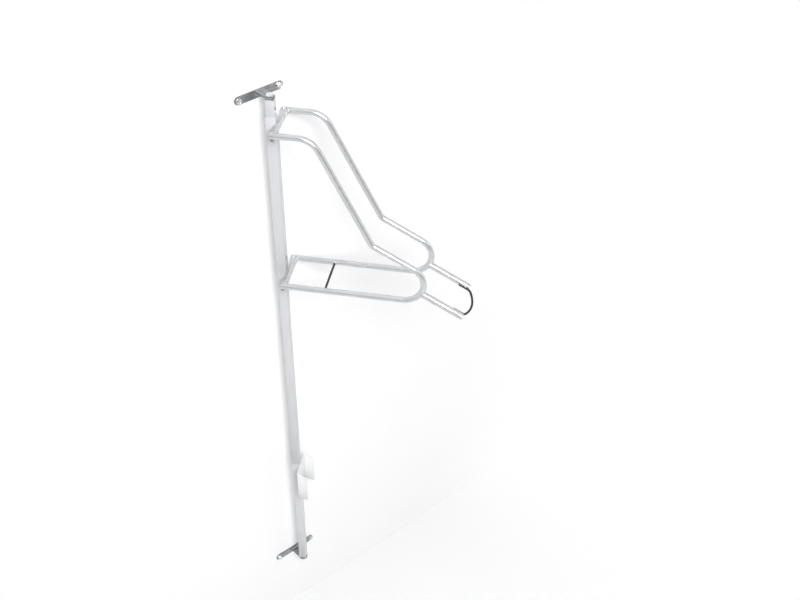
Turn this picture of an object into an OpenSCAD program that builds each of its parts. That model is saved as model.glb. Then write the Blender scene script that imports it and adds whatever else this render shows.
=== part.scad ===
// Swivelling wall hanger for one upright bicycle, in millimetres.
// +Z is up, the wall is the plane Y = 0 and the room is on the -Y side.
// The origin is the middle of the four wall bolts, but the heights below count from the lower two.

/* [Wall brackets] */
// Distance from the wall to the swivel axis
wall_gap = 56; // [50:1:90]
// Height from the lower pair of wall bolts to the upper pair
bolt_rise = 1920; // [1700:5:2200]
// Distance between the two wall bolts of a bracket
bolt_span = 140; // [100:1:200]
// Height of the flat bar on the wall
bar_h = 25; // [22:1:40]
// Thickness of the flat bar on the wall
bar_t = 5; // [3:0.5:10]
// Width of the arm that reaches out to the post
arm_w = 30; // [26:1:44]
// Thickness of the arm
arm_t = 5; // [3:0.5:8]

/* [Wall bolts] */
// Diameter of a wall bolt
bolt_d = 8; // [6:0.5:10]
// Size of the bolt's hexagon across its flats
bolt_af = 13; // [12:0.5:17]
// Height of the bolt's head
bolt_head_h = 5.5; // [3:0.5:8]
// How far the bolt goes into the wall
bolt_bite = 45; // [25:1:90]
// Diameter of the washer under the bolt's head
wall_washer_d = 18; // [17:0.5:21]
// Thickness of that washer
wall_washer_t = 1.6; // [1:0.1:3]
// Play of a bolt in its hole, all round
bolt_play = 0.5; // [0.2:0.1:1]
// How much slimmer the bolt's neck under the head is than its thread in the wall
bolt_neck = 0.5; // [0.4:0.1:1]

/* [Swivel] */
// Angle that the post is turned to, from straight out of the wall
swing = 39; // [-50:1:50]
// Diameter of the two pivot bolts
pivot_d = 12; // [8:0.5:14]
// Size of a pivot bolt's hexagon across its flats
pivot_af = 19; // [17:0.5:24]
// Height of a pivot bolt's head
pivot_head_h = 7.5; // [4:0.5:10]
// How far a pivot bolt reaches into the post
pivot_reach = 42; // [20:1:46]
// Running play of a pivot bolt, all round
pivot_play = 0.05; // [0.02:0.01:0.1]
// Diameter of the sliding washers between the arms and the post
slide_washer_d = 24; // [20:0.5:25]
// Thickness of those washers
slide_washer_t = 2; // [1:0.5:4]
// Running gap between a washer and the end of the post
end_play = 0.3; // [0.2:0.05:0.6]

/* [Post] */
// Width of the square post
post_w = 25; // [22:0.5:30]
// Wall of the square post
post_wall = 2; // [1.5:0.1:2.5]
// Rounding of the post's and the sleeve's long edges
edge_r = 2; // [1:0.1:2.5]
// Height of the butt joint between the lower and the middle post
joint_z = 496; // [420:1:700]
// Length of the joiner inside that joint
joiner_len = 200; // [120:5:240]
// Length of the bearing plugs in the post's ends
plug_len = 50; // [48:1:70]
// Play of the plugs and of the joiner inside the post
plug_play = 0.1; // [0.05:0.05:0.3]

/* [Sleeve] */
// Wall of the sleeve that carries the cradle
sleeve_wall = 2.4; // [1.5:0.1:4]
// Play of the post inside the sleeve
sleeve_play = 0.1; // [0.05:0.05:0.4]
// How far the post goes into each end of the sleeve
sleeve_grip = 104; // [95:1:140]
// Distance from the top of the sleeve up to the post's top end
sleeve_drop = 53.2; // [52:0.1:140]
// Sleeve above the middle of the upper cross tube
sleeve_over = 21; // [10:1:40]
// Sleeve below the middle of the lower cross tube
sleeve_under = 12; // [10:1:40]

/* [Cradle] */
// Diameter of the bent tubes
tube_d = 18; // [12:0.5:22]
// Wall of the bent tubes
tube_wall = 1.5; // [1.2:0.1:2.5]
// Width of the cradle between tube centres
cradle_w = 145; // [110:1:180]
// Height of the upper arms above the lower arms
arm_rise = 523; // [440:1:600]
// Depth of the flat on a cross tube where it meets the sleeve
seat_flat = 1; // [0.5:0.1:1.1]
// How far the cut ends of the arms lie behind the middle of the cross tubes
arm_tail = 11; // [8:0.5:20]
// Distance from the swivel axis to the shoulder, where the tube turns down
shoulder_u = 131; // [115:1:170]
// Bend radius of the shoulder
shoulder_r = 62; // [30:1:75]
// Distance from the swivel axis to the knee
knee_u = 295; // [270:1:330]
// Height of the knee above the lower arms
knee_rise = 186; // [165:1:210]
// Bend radius of the knee
knee_r = 24; // [20:1:60]
// Slope of the nose and of the extension bars below level
nose_slope = 29.5; // [24:0.5:34]
// Bend radius of the nose, where the tube turns back to the post
nose_r = 63; // [50:1:70]

/* [Wheel rests] */
// Diameter of the extension bars
ext_d = 20; // [10:0.5:24]
// Length of an extension bar, from the centre of the nose
ext_len = 207; // [150:1:260]
// Diameter of the two coated rods that the tyre lies on
rod_d = 7; // [5:0.5:10]
// Distance from the swivel axis to the inner rod
inner_rod_u = 148; // [100:1:300]
// How far the middle of the outer rod bows past the extension bars
rod_bow = 22; // [12:1:36]
// Radius of that bow
bow_r = 105; // [80:1:160]
// Bend radius of the outer rod's two corners
rod_corner_r = 14; // [10:1:30]
// Length of the outer rod's legs, which are welded along the bars' inner sides
rod_leg = 30; // [25:1:60]
// Gap between a leg and its bar, which the weld fills
rod_gap = 0.1; // [0.05:0.05:0.3]

/* [Rear wheel guide] */
// Width of the guide for the lower wheel
guide_w = 100; // [70:1:140]
// Height of the guide at the post
guide_h = 118; // [90:1:140]
// Depth of the guide's cheeks from the post
guide_depth = 34; // [20:1:60]
// Sheet thickness of the guide
guide_t = 3; // [2:0.5:5]
// How much lower the cheeks' upper edge ends at the front than at the post
guide_slope = 19; // [0:1:30]
// How much lower their lower edge ends at the front than at the post
guide_skirt = 12; // [1:1:30]
// How far the guide's top lies below the post's butt joint
guide_drop = 3; // [1:1:40]
// Distance of the guide's screws from its top and bottom edge
guide_screw_in = 28; // [15:1:35]

/* [Post screws] */
// Diameter of the screws in the post
screw_d = 5; // [4:0.5:6]
// Diameter of their heads
screw_head_d = 9.5; // [8:0.5:12]
// Height of their heads
screw_head_h = 2.8; // [2:0.1:4]
// Length of their shanks
screw_len = 6; // [5.5:0.1:6.3]
// Length of the countersunk screws in the guide
guide_screw_len = 10; // [8:0.5:16]
// Height of the plug's screw below the post's top end
plug_screw_drop = 30; // [15:1:45]
// Height of the sleeve's upper screw below the sleeve's top
grip_screw_drop = 73; // [20:1:90]
// Height of the sleeve's lower screw above the sleeve's bottom
grip_screw_rise = 66; // [20:1:90]
// Height of the lock screw below the sleeve's bottom
lock_screw_drop = 50; // [20:1:120]

/* [Hidden] */
$fn = 48;
slack = 1;
// A straight laps into the bends at its ends, and a bend is a hair slimmer than it.
lap = 0.2;
hair = 0.06;
// The horns of a coped tube end are cut blunt, this far inside the side of the tube that it meets.
cope_tip = 0.125;

// Brackets: the lower arm is welded to the middle of its bar, the upper one level with its top.
low_arm_top = arm_t / 2;
high_arm_top = bolt_rise + bar_h / 2;
high_arm_bottom = high_arm_top - arm_t;

// Post, from the washer on the lower arm to the washer under the upper arm.
post_bottom = low_arm_top + slide_washer_t + end_play;
post_top = high_arm_bottom - slide_washer_t - end_play;
post_in = post_w - 2 * post_wall;
plug_w = post_in - 2 * plug_play;

// Sleeve near the post's top, and the two cross tubes on it.
sleeve_in = post_w + 2 * sleeve_play;
sleeve_w = sleeve_in + 2 * sleeve_wall;
sleeve_top = post_top - sleeve_drop;
high_arm_z = sleeve_top - sleeve_over;
low_arm_z = high_arm_z - arm_rise;
sleeve_bottom = low_arm_z - sleeve_under;

// Side tube as seen from the side: u runs out from the swivel axis, z runs up.
half_w = cradle_w / 2;
cross_u = sleeve_w / 2 + tube_d / 2 - seat_flat;
arm_u = cross_u - arm_tail;
cope_in = sqrt(cope_tip * (tube_d - cope_tip));
knee_z = low_arm_z + knee_rise;
fall = atan2(high_arm_z - knee_z, knee_u - shoulder_u);
shoulder_cut = shoulder_r * tan(fall / 2);
knee_cut = knee_r * tan((fall - nose_slope) / 2);
nose_z = low_arm_z + nose_r;
nose_along = (knee_z - nose_r * cos(nose_slope) - nose_z) / sin(nose_slope);
nose_u = knee_u + nose_along * cos(nose_slope) - nose_r * sin(nose_slope);

// Outer rod in the plane of the extension bars: legs, corners and bow run on into each other.
leg_v = half_w - ext_d / 2 - rod_gap - rod_d / 2;
bow_c = ext_len + rod_bow - bow_r;
rod_turn = asin((leg_v - rod_corner_r) / (bow_r - rod_corner_r));
corner_c = bow_c + (bow_r - rod_corner_r) * cos(rod_turn);

// Rear wheel guide and screws.
guide_top = joint_z - guide_drop;
guide_bottom = guide_top - guide_h;
sleeve_u = sleeve_w / 2;
post_u = post_w / 2;

// Brings a height above the lower wall bolts to the origin between the four.
module fixed() {
    translate([0, 0, -bolt_rise / 2]) children();
}

// Does the same to what turns, which is drawn straight out of the wall about the swivel axis.
module swung() {
    fixed() translate([0, -wall_gap, 0]) rotate([0, 0, swing]) children();
}

// Lays a drawing in X and Y into the upright plane at v, with X as u and Y as z.
module side_plane(v) {
    translate([v, 0, 0]) rotate([0, 0, -90]) rotate([90, 0, 0]) children();
}

// Lays a drawing into the plane of the extension bars, with X along the bars and Y across.
module bar_plane() {
    translate([0, -nose_u, nose_z]) rotate([nose_slope, 0, 0]) rotate([0, 0, -90]) children();
}

module hex_head(af, h) {
    cylinder(h = h, d = af / cos(30), $fn = 6);
}

module square_bar(w, h) {
    r = edge_r;
    union() {
        translate([-w / 2 + r, -w / 2, 0]) cube([w - 2 * r, w, h]);
        translate([-w / 2, -w / 2 + r, 0]) cube([w, w - 2 * r, h]);
        for (x = [-1, 1], y = [-1, 1])
            translate([x * (w / 2 - r), y * (w / 2 - r), 0]) cylinder(h = h, r = r);
    }
}

module square_hole(w, h) {
    translate([-w / 2, -w / 2, 0]) cube([w, w, h]);
}

// A hollow square bar between two heights.
module square_tube(w, inner, z0, z1) {
    translate([0, 0, z0]) difference() {
        square_bar(w, z1 - z0);
        translate([0, 0, -slack]) square_hole(inner, z1 - z0 + 2 * slack);
    }
}

// A straight round bar between two points of a plane.
module straight(p, q, d) {
    run = q - p;
    translate([p[0], p[1], 0]) rotate([0, 0, atan2(run[1], run[0])]) rotate([0, 90, 0])
        cylinder(h = norm(run), d = d);
}

// A bent round bar about a centre, between two angles of a plane.
module bend(c, r, from, to, d) {
    translate([c[0], c[1], 0]) rotate([0, 0, from])
        rotate_extrude(angle = to - from) translate([r, 0]) circle(d = d);
}

module straight_tube(p, q, d) {
    along = (q - p) / norm(q - p);
    difference() {
        straight(p - lap * along, q + lap * along, d);
        straight(p - slack * along, q + slack * along, d - 2 * tube_wall);
    }
}

module bent_tube(c, r, from, to, d) {
    translate([c[0], c[1], 0]) rotate([0, 0, from]) rotate_extrude(angle = to - from)
        translate([r, 0]) difference() {
            circle(d = d - 2 * hair);
            circle(d = d - 2 * (tube_wall - hair));
        }
}

// A screw that stands in the post's face, with its head's seat at the origin and X outwards.
module screw(gap = 0) {
    rotate([0, 90, 0]) translate([0, 0, -screw_len - gap]) cylinder(h = screw_len + gap, d = screw_d);
    if (gap == 0) rotate([0, 90, 0]) cylinder(h = screw_head_h, d1 = screw_head_d, d2 = screw_head_d * 0.8);
}

// The four post screws: two in the front face, two in the left face.
module at_post_screws() {
    translate([0, -post_u, post_top - plug_screw_drop]) rotate([0, 0, -90]) children();
    translate([0, -sleeve_u, sleeve_bottom + grip_screw_rise]) rotate([0, 0, -90]) children();
    translate([-sleeve_u, 0, sleeve_top - grip_screw_drop]) rotate([0, 0, 180]) children();
    translate([-post_u, 0, sleeve_bottom - lock_screw_drop]) rotate([0, 0, 180]) children();
}

module at_guide_screws() {
    for (z = [guide_bottom + guide_screw_in, guide_top - guide_screw_in])
        translate([0, -post_u - guide_t, z]) rotate([0, 0, -90]) children();
}

// A countersunk screw, flush with its seat.
module flush_screw() {
    rotate([0, 90, 0]) union() {
        translate([0, 0, -guide_screw_len]) cylinder(h = guide_screw_len, d = screw_d);
        translate([0, 0, -(screw_head_d - screw_d) / 2])
            cylinder(h = (screw_head_d - screw_d) / 2, d1 = screw_d, d2 = screw_head_d);
    }
}

module wall_bar(z) {
    difference() {
        translate([0, 0, z]) rotate([90, 0, 0]) union() {
            translate([-bolt_span / 2, -bar_h / 2, 0]) cube([bolt_span, bar_h, bar_t]);
            for (s = [-1, 1]) translate([s * bolt_span / 2, 0, 0]) cylinder(h = bar_t, d = bar_h);
        }
        for (s = [-1, 1]) translate([s * bolt_span / 2, slack, z]) rotate([90, 0, 0])
            cylinder(h = bar_t + 2 * slack, d = bolt_d + 2 * bolt_play);
    }
}

module arm(top) {
    translate([0, -wall_gap, top - arm_t]) difference() {
        union() {
            translate([-arm_w / 2, 0, 0]) cube([arm_w, wall_gap - bar_t, arm_t]);
            cylinder(h = arm_t, d = arm_w);
        }
        translate([0, 0, -slack]) cylinder(h = arm_t + 2 * slack, d = pivot_d + 2 * pivot_play);
    }
}

module at_wall_bolts() {
    for (x = [-1, 1], z = [0, bolt_rise])
        translate([x * bolt_span / 2, -bar_t, z]) rotate([90, 0, 0]) children();
}

module pivot_bolt() {
    hex_head(pivot_af, pivot_head_h);
    translate([0, 0, -arm_t - slide_washer_t - end_play - pivot_reach])
        cylinder(h = arm_t + slide_washer_t + end_play + pivot_reach, d = pivot_d);
}

module slide_washer() {
    difference() {
        cylinder(h = slide_washer_t, d = slide_washer_d);
        translate([0, 0, -slack]) cylinder(h = slide_washer_t + 2 * slack, d = pivot_d + 2 * pivot_play);
    }
}

module end_plug() {
    difference() {
        square_hole(plug_w, plug_len);
        translate([0, 0, -slack]) cylinder(h = plug_len + 2 * slack, d = pivot_d + 2 * pivot_play);
    }
}

// A cross tube, coped to the arms at its ends and flattened where it meets the sleeve.
module cross_tube(z) {
    end_v = half_w - cope_in - lap;
    translate([0, 0, z]) difference() {
        straight_tube([-end_v, -cross_u], [end_v, -cross_u], tube_d);
        for (v = [-half_w, half_w])
            straight([v, tube_d - cross_u], [v, -tube_d - cross_u], tube_d);
        translate([-sleeve_u, -sleeve_u, -tube_d]) cube([sleeve_w, sleeve_w, 2 * tube_d]);
    }
}

// One side of the cradle: out, over the shoulder, down to the knee, round the nose and back.
module side_tube(v) {
    side_plane(v) {
        straight_tube([arm_u + lap, high_arm_z], [shoulder_u - shoulder_cut, high_arm_z], tube_d);
        bent_tube([shoulder_u - shoulder_cut, high_arm_z - shoulder_r], shoulder_r, 90 - fall, 90, tube_d);
        straight_tube([shoulder_u + shoulder_cut * cos(fall), high_arm_z - shoulder_cut * sin(fall)],
                      [knee_u - knee_cut * cos(fall), knee_z + knee_cut * sin(fall)], tube_d);
        bent_tube([knee_u - knee_cut * cos(fall) + knee_r * sin(fall),
                   knee_z + knee_cut * sin(fall) + knee_r * cos(fall)],
                  knee_r, 270 - fall, 270 - nose_slope, tube_d);
        straight_tube([knee_u + knee_cut * cos(nose_slope), knee_z - knee_cut * sin(nose_slope)],
                      [nose_u + nose_r * sin(nose_slope), nose_z + nose_r * cos(nose_slope)], tube_d);
        bent_tube([nose_u, nose_z], nose_r, -90, 90 - nose_slope, tube_d);
        straight_tube([nose_u, low_arm_z], [arm_u + lap, low_arm_z], tube_d);
    }
}

// An extension bar, coped to the nose bend that it is welded to.
module extension(v) {
    bar_plane() difference() {
        straight_tube([nose_r + cope_in + lap, v], [ext_len - lap, v], ext_d);
        translate([nose_r, v, -tube_d]) cylinder(h = 2 * tube_d, d = tube_d);
    }
}

module upper_wall_bar() { color("gray") fixed() wall_bar(bolt_rise); }
module upper_arm() { color("silver") fixed() arm(high_arm_top); }
module lower_wall_bar() { color("gray") fixed() wall_bar(0); }
module lower_arm() { color("silver") fixed() arm(low_arm_top); }

module wall_bolts() {
    color("gainsboro") fixed() at_wall_bolts() union() {
        translate([0, 0, wall_washer_t]) hex_head(bolt_af, bolt_head_h);
        translate([0, 0, -bar_t - slack])
            cylinder(h = bar_t + wall_washer_t + 2 * slack, d = bolt_d - bolt_neck);
        translate([0, 0, -bar_t - bolt_bite]) cylinder(h = bolt_bite, d = bolt_d);
    }
}

module wall_washers() {
    color("lightgray") fixed() at_wall_bolts() difference() {
        cylinder(h = wall_washer_t, d = wall_washer_d);
        translate([0, 0, -slack]) cylinder(h = wall_washer_t + 2 * slack, d = bolt_d + 2 * pivot_play);
    }
}

module pivot_bolts() {
    color("dimgray") fixed() {
        translate([0, -wall_gap, high_arm_top]) pivot_bolt();
        translate([0, -wall_gap, low_arm_top - arm_t]) mirror([0, 0, 1]) pivot_bolt();
    }
}

module slide_washers() {
    color("black") fixed() {
        translate([0, -wall_gap, low_arm_top]) slide_washer();
        translate([0, -wall_gap, high_arm_bottom - slide_washer_t]) slide_washer();
    }
}

module lower_post() {
    color("lightsteelblue") swung() difference() {
        square_tube(post_w, post_in, post_bottom, joint_z);
        at_guide_screws() flush_screw();
    }
}

module middle_post() {
    color("lightblue") swung() difference() {
        square_tube(post_w, post_in, joint_z, sleeve_bottom + sleeve_grip);
        at_post_screws() screw(slack);
    }
}

module top_post() {
    color("lightsteelblue") swung() difference() {
        square_tube(post_w, post_in, sleeve_top - sleeve_grip, post_top);
        at_post_screws() screw(slack);
    }
}

module post_joiner() {
    color("slategray") swung() difference() {
        translate([0, 0, joint_z - joiner_len / 2]) difference() {
            square_hole(plug_w, joiner_len);
            translate([0, 0, -slack]) square_hole(plug_w - 2 * post_wall, joiner_len + 2 * slack);
        }
        at_guide_screws() flush_screw();
    }
}

module end_plugs() {
    color("darkslategray") swung() difference() {
        union() {
            translate([0, 0, post_bottom]) end_plug();
            translate([0, 0, post_top - plug_len]) end_plug();
        }
        at_post_screws() screw(slack);
    }
}

module sleeve() {
    color("gainsboro") swung() difference() {
        square_tube(sleeve_w, sleeve_in, sleeve_bottom, sleeve_top);
        at_post_screws() screw(slack);
    }
}

module upper_cross_tube() { color("white") swung() cross_tube(high_arm_z); }
module lower_cross_tube() { color("white") swung() cross_tube(low_arm_z); }
module left_side_tube() { color("silver") swung() side_tube(-half_w); }
module right_side_tube() { color("silver") swung() side_tube(half_w); }
module left_extension() { color("lightgray") swung() extension(-half_w); }
module right_extension() { color("lightgray") swung() extension(half_w); }

module inner_rest_rod() {
    color("black") swung() difference() {
        translate([-half_w, -inner_rod_u, low_arm_z]) rotate([0, 90, 0]) cylinder(h = cradle_w, d = rod_d);
        for (v = [-half_w, half_w]) side_plane(v)
            straight([inner_rod_u - tube_d, low_arm_z], [inner_rod_u + tube_d, low_arm_z], tube_d);
    }
}

module outer_rest_rod() {
    over = lap / bow_r * 180 / PI;
    slim = rod_d - 2 * hair;
    color("black") swung() bar_plane() union() {
        bend([bow_c, 0], bow_r, -rod_turn - over, rod_turn + over, rod_d);
        bend([corner_c, leg_v - rod_corner_r], rod_corner_r, rod_turn, 90, slim);
        bend([corner_c, rod_corner_r - leg_v], rod_corner_r, -90, -rod_turn, slim);
        for (v = [-leg_v, leg_v]) straight([corner_c - rod_leg, v], [corner_c + lap, v], rod_d);
    }
}

module post_screws() { color("dimgray") swung() at_post_screws() screw(); }
module guide_screws() { color("dimgray") swung() at_guide_screws() flush_screw(); }

module wheel_guide() {
    color("whitesmoke") swung() difference() {
        translate([-guide_w / 2, 0, 0]) rotate([90, 0, 90]) linear_extrude(guide_w)
            polygon([[-post_u, guide_top], [-post_u - guide_t, guide_top],
                     [-post_u - guide_depth, guide_top - guide_slope],
                     [-post_u - guide_depth, guide_bottom - guide_skirt],
                     [-post_u - guide_t, guide_bottom], [-post_u, guide_bottom]]);
        translate([-guide_w / 2 + guide_t, -post_u - guide_depth - slack, guide_bottom - guide_skirt - slack])
            cube([guide_w - 2 * guide_t, guide_depth - guide_t + slack, guide_h + guide_skirt + 2 * slack]);
        at_guide_screws() flush_screw();
    }
}

upper_wall_bar();
upper_arm();
lower_wall_bar();
lower_arm();
wall_bolts();
wall_washers();
pivot_bolts();
slide_washers();
lower_post();
middle_post();
top_post();
post_joiner();
end_plugs();
sleeve();
upper_cross_tube();
lower_cross_tube();
left_side_tube();
right_side_tube();
left_extension();
right_extension();
inner_rest_rod();
outer_rest_rod();
post_screws();
wheel_guide();
guide_screws();
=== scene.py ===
from math import asin, cos, pi, radians, sin, sqrt, tan

import bmesh
import bpy
from mathutils import Matrix, Vector


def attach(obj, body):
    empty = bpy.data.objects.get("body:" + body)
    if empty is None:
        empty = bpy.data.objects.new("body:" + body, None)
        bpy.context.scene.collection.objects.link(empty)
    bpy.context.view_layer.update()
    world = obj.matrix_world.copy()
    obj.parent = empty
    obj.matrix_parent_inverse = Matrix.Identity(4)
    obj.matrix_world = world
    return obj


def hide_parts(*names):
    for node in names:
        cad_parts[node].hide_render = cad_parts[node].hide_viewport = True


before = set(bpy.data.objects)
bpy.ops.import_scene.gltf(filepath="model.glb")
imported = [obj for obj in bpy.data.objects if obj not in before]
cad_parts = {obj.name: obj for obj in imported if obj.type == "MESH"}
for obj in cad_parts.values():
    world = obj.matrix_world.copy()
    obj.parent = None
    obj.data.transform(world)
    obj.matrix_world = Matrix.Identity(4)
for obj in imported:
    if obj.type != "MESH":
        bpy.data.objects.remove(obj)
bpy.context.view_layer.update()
scene = bpy.context.scene
scene.view_settings.view_transform = "Standard"

# Pieces are drawn in millimetres: X across, -Y out into the room, Z up from the lower wall bolts.
rack = {"wallGap": 56, "boltRise": 1920, "boltSpan": 140, "swing": 39, "postWide": 25, "sleeveWide": 30}
mm = 0.001
quarter = radians(90)
swing = radians(rack["swing"])
fixedPlace = Matrix.Scale(mm, 4) @ Matrix.Translation((0, 0, -rack["boltRise"] / 2))
swungPlace = fixedPlace @ Matrix.Translation((0, -rack["wallGap"], 0)) @ Matrix.Rotation(swing, 4, "Z")


# A socket that can be used in sums; each sum adds its Math node.
class Wire:
    def __init__(self, book, socket):
        self.book = book
        self.socket = socket

    def maths(self, operation, *others):
        return self.book.maths(operation, self, *others)

    def __add__(self, other):
        return self.maths("ADD", other)

    __radd__ = __add__

    def __mul__(self, other):
        return self.maths("MULTIPLY", other)

    __rmul__ = __mul__

    def __sub__(self, other):
        return self.maths("SUBTRACT", other)

    def __rsub__(self, other):
        return self.book.maths("SUBTRACT", other, self)

    def __truediv__(self, other):
        return self.maths("DIVIDE", other)

    def __rtruediv__(self, other):
        return self.book.maths("DIVIDE", other, self)

    def __pow__(self, other):
        return self.maths("POWER", other)

    def __rpow__(self, other):
        return self.book.maths("POWER", other, self)

    def __abs__(self):
        return self.maths("ABSOLUTE")

    def clamped(self):
        return self.maths("MINIMUM", 1.0).maths("MAXIMUM", 0.0)

    def step(self, low, high):   # 0 below low, 1 above high, smooth between
        values = {"Value": self, "From Min": low, "From Max": high}
        return self.book.node("ShaderNodeMapRange", {"interpolation_type": "SMOOTHSTEP"}, values)


# A node tree being written, for materials and for Geometry Nodes alike.
class Book:
    def __init__(self, tree):
        self.tree = tree

    def node(self, kind, settings=None, values=None, out=0):   # out is one output, or several in a tuple
        made = self.tree.nodes.new(kind)
        for name, value in (settings or {}).items():
            if name == "stops":
                ramp = made.color_ramp.elements
                while len(ramp) < len(value):
                    ramp.new(0.5)
                for stop, (place, colour) in zip(ramp, value):
                    stop.position = place
                    stop.color = (*colour, 1)
            else:
                setattr(made, name, value)
        for name, value in (values or {}).items():
            if isinstance(value, Wire):
                self.tree.links.new(value.socket, made.inputs[name])
            else:
                made.inputs[name].default_value = value
        if isinstance(out, tuple):
            return [Wire(self, made.outputs[item]) for item in out]
        return Wire(self, made.outputs[out]) if len(made.outputs) else None

    def maths(self, operation, *values):
        return self.node("ShaderNodeMath", {"operation": operation}, dict(enumerate(values)))

    def mix(self, factor, a, b):   # a Mix node's colour sockets go by number, as their names repeat
        colours = [shade if isinstance(shade, Wire) else (*shade, 1) for shade in (a, b)]
        return self.node("ShaderNodeMix", {"data_type": "RGBA"}, {0: factor, 6: colours[0], 7: colours[1]}, 2)

    def noise(self, vector, scale, detail=3.0, roughness=0.5):
        values = {"Vector": vector, "Scale": scale, "Detail": detail, "Roughness": roughness}
        return self.node("ShaderNodeTexNoise", {}, values)

    def bump(self, height, strength, distance, normal=None):
        values = {"Height": height, "Strength": strength, "Distance": distance}
        if normal is not None:
            values["Normal"] = normal
        return self.node("ShaderNodeBump", {}, values)

    def stretched(self, vector, scale):
        return self.node("ShaderNodeVectorMath", {"operation": "MULTIPLY"}, {0: vector, 1: scale})

    def split(self, vector):
        return self.node("ShaderNodeSeparateXYZ", {}, {0: vector}, (0, 1, 2))

    def placed(self, turn=0.0, place=(0, 0, 0)):   # object coordinates, centred and turned on a piece
        coords = self.node("ShaderNodeTexCoord", out="Object")
        values = {"Vector": coords, "Location": place, "Rotation": (0, 0, turn)}
        return self.node("ShaderNodeMapping", {"vector_type": "TEXTURE"}, values)


def material(name, build):   # build gives the values of a Principled shader, or a shader of its own
    made = bpy.data.materials.new(name)
    made.use_nodes = True
    made.node_tree.nodes.clear()
    book = Book(made.node_tree)
    surface = build(book)
    if not isinstance(surface, Wire):
        surface = book.node("ShaderNodeBsdfPrincipled", {}, surface)
    book.node("ShaderNodeOutputMaterial", {}, {"Surface": surface})
    return made


def sweptCoords(book, across, along):   # skin is the direction round the tube, along the metres on its path
    skin = book.node("ShaderNodeAttribute", {"attribute_name": "skin"}, out="Vector")
    length = book.node("ShaderNodeAttribute", {"attribute_name": "along"}, out="Fac")
    x, y, _ = book.split(skin)
    return book.node("ShaderNodeCombineXYZ", {}, {0: x * across, 1: y * across, 2: length * along})


def postCoords(book):   # turned with the post
    return book.placed(swing, (0, -rack["wallGap"] * mm, 0))


def zincTube(book):
    look = {"pale": (0.68, 0.685, 0.69), "deep": (0.55, 0.56, 0.58), "warm": (0.66, 0.645, 0.62),
            "metal": 0.85, "rough": 0.18}
    cloud = book.noise(sweptCoords(book, 0.9, 24), 1.6, 3)
    drawn = book.noise(sweptCoords(book, 22, 5), 2.4, 2)       # die lines along the tube
    spangle = book.noise(book.placed(), 420, 2, 0.6)
    colour = book.mix(cloud.step(0.35, 0.7), look["pale"], look["deep"])
    colour = book.mix(cloud.step(0.5, 0.72) * 0.35, colour, look["warm"])
    normal = book.bump(drawn, 0.10, 0.0002)
    normal = book.bump(spangle, 0.05, 0.0001, normal)
    return {"Base Color": colour, "Metallic": look["metal"],
            "Roughness": look["rough"] + drawn * 0.10 + cloud * 0.08, "Normal": normal}


def weldZinc(book):
    look = {"base": (0.60, 0.61, 0.62), "pale": (0.74, 0.74, 0.73), "rough": 0.26}
    grain = book.noise(book.placed(), 900, 3, 0.6)
    return {"Base Color": book.mix(grain, look["base"], look["pale"]), "Metallic": 1.0,
            "Roughness": look["rough"] + grain * 0.16, "Normal": book.bump(grain, 0.25, 0.0003)}


def silverCoat(book):
    look = {"base": (0.70, 0.71, 0.725), "dull": (0.64, 0.65, 0.665), "fleck": (0.80, 0.805, 0.81),
            "metal": 0.35, "rough": 0.38, "coat": 0.25, "coatRough": 0.18}
    coords = postCoords(book)
    cloud = book.noise(book.stretched(coords, (14, 14, 3)), 1.0, 3)
    peel = book.noise(coords, 900, 2, 0.5)                     # orange peel of the powder coat
    fleck = book.noise(coords, 5200, 1, 0.5)
    drawn = book.noise(book.stretched(coords, (900, 900, 6)), 1.0, 2)
    colour = book.mix(cloud, look["base"], look["dull"])
    colour = book.mix(fleck.step(0.56, 0.72) * 0.45, colour, look["fleck"])
    normal = book.bump(peel, 0.16, 0.0003)
    normal = book.bump(drawn, 0.05, 0.0002, normal)
    return {"Base Color": colour, "Metallic": look["metal"],
            "Roughness": look["rough"] + cloud * 0.10 + peel * 0.05,
            "Normal": normal, "Coat Weight": look["coat"], "Coat Roughness": look["coatRough"]}


def flatSteel(book):
    look = {"base": (0.36, 0.37, 0.38), "deep": (0.25, 0.26, 0.27), "worn": (0.50, 0.50, 0.49), "rough": 0.20}
    coords = book.placed()
    rolled = book.noise(book.stretched(coords, (10, 260, 900)), 1.0, 3)
    cloud = book.noise(coords, 60, 3, 0.55)
    colour = book.mix(cloud.step(0.3, 0.7), look["base"], look["deep"])
    colour = book.mix(rolled.step(0.55, 0.75) * 0.5, colour, look["worn"])
    return {"Base Color": colour, "Metallic": 1.0,
            "Roughness": look["rough"] + cloud * 0.14 + rolled * 0.06,
            "Normal": book.bump(rolled, 0.12, 0.0002)}


def boltZinc(book):
    look = {"base": (0.84, 0.845, 0.85), "warm": (0.72, 0.72, 0.70), "rough": 0.18}
    coords = book.placed()
    cloud = book.noise(coords, 260, 3, 0.6)
    turned = book.noise(book.stretched(coords, (1400, 200, 1400)), 1.0, 2)
    return {"Base Color": book.mix(cloud, look["base"], look["warm"]), "Metallic": 1.0,
            "Roughness": look["rough"] + cloud * 0.14, "Normal": book.bump(turned, 0.10, 0.0002)}


def screwSteel(book):
    look = {"base": (0.42, 0.43, 0.44), "deep": (0.30, 0.305, 0.31), "rough": 0.24}
    cloud = book.noise(book.placed(), 700, 3, 0.6)
    return {"Base Color": book.mix(cloud, look["base"], look["deep"]), "Metallic": 1.0,
            "Roughness": look["rough"] + cloud * 0.14, "Normal": book.bump(cloud, 0.12, 0.0001)}


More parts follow.
